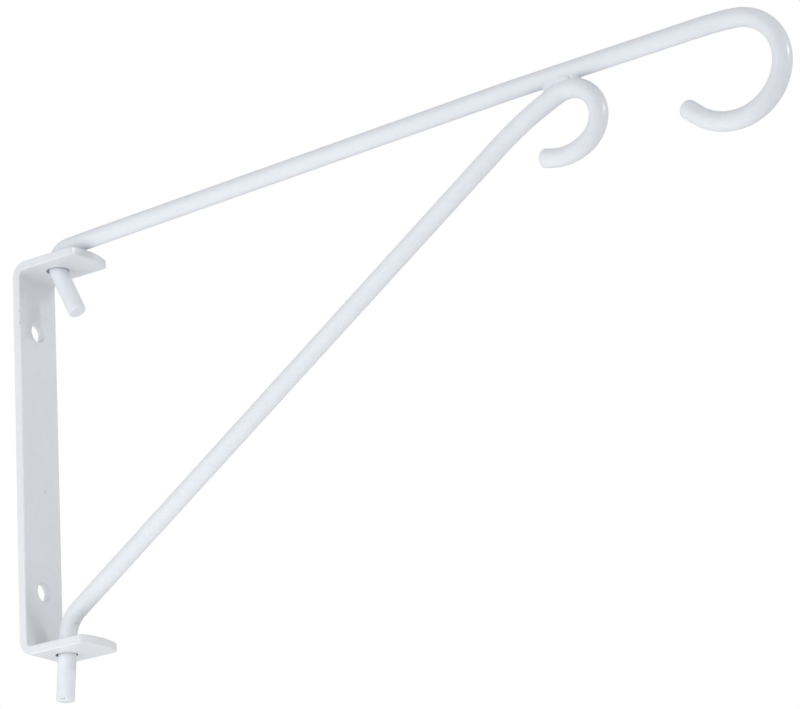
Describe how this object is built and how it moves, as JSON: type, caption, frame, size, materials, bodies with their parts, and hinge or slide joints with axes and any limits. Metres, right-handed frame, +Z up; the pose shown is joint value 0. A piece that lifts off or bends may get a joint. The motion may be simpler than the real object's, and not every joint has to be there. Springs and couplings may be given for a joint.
{
  "type": "swivel bracket",
  "caption": "Wall bracket with a plate bent into a U and a braced round-rod arm that swings sideways in the plate's ears, ending in a large hook, with a smaller hook under the weld.",
  "frame": {"origin": "on the wall, at the middle of the back face of the wall plate, halfway between the two screw holes", "axes": "+X leaves the wall along the arm at rest, +Y is to the left for someone who stands at the wall and looks along +X, +Z is up"},
  "size_m": [0.3866, 0.025, 0.219],
  "materials": {
    "plate_coat": "white semi-gloss powder coat on steel flat bar",
    "rod_coat": "white semi-gloss powder coat on steel rod",
    "weld_coat": "white semi-gloss powder coat over a weld"
  },
  "bodies": {
    "plate": {"wall_plate": "plate_coat"},
    "arm": {"support_arm": "rod_coat", "brace_strut": "rod_coat", "weld_bead_right": "weld_coat", "weld_bead_left": "weld_coat"}
  },
  "joints": [
    {"name": "arm_swing", "type": "hinge", "parent": "plate", "child": "arm", "pos_m": [0.016, 0, 0], "axis": [0, 0, 1], "range_deg": [-90, 90]}
  ]
}
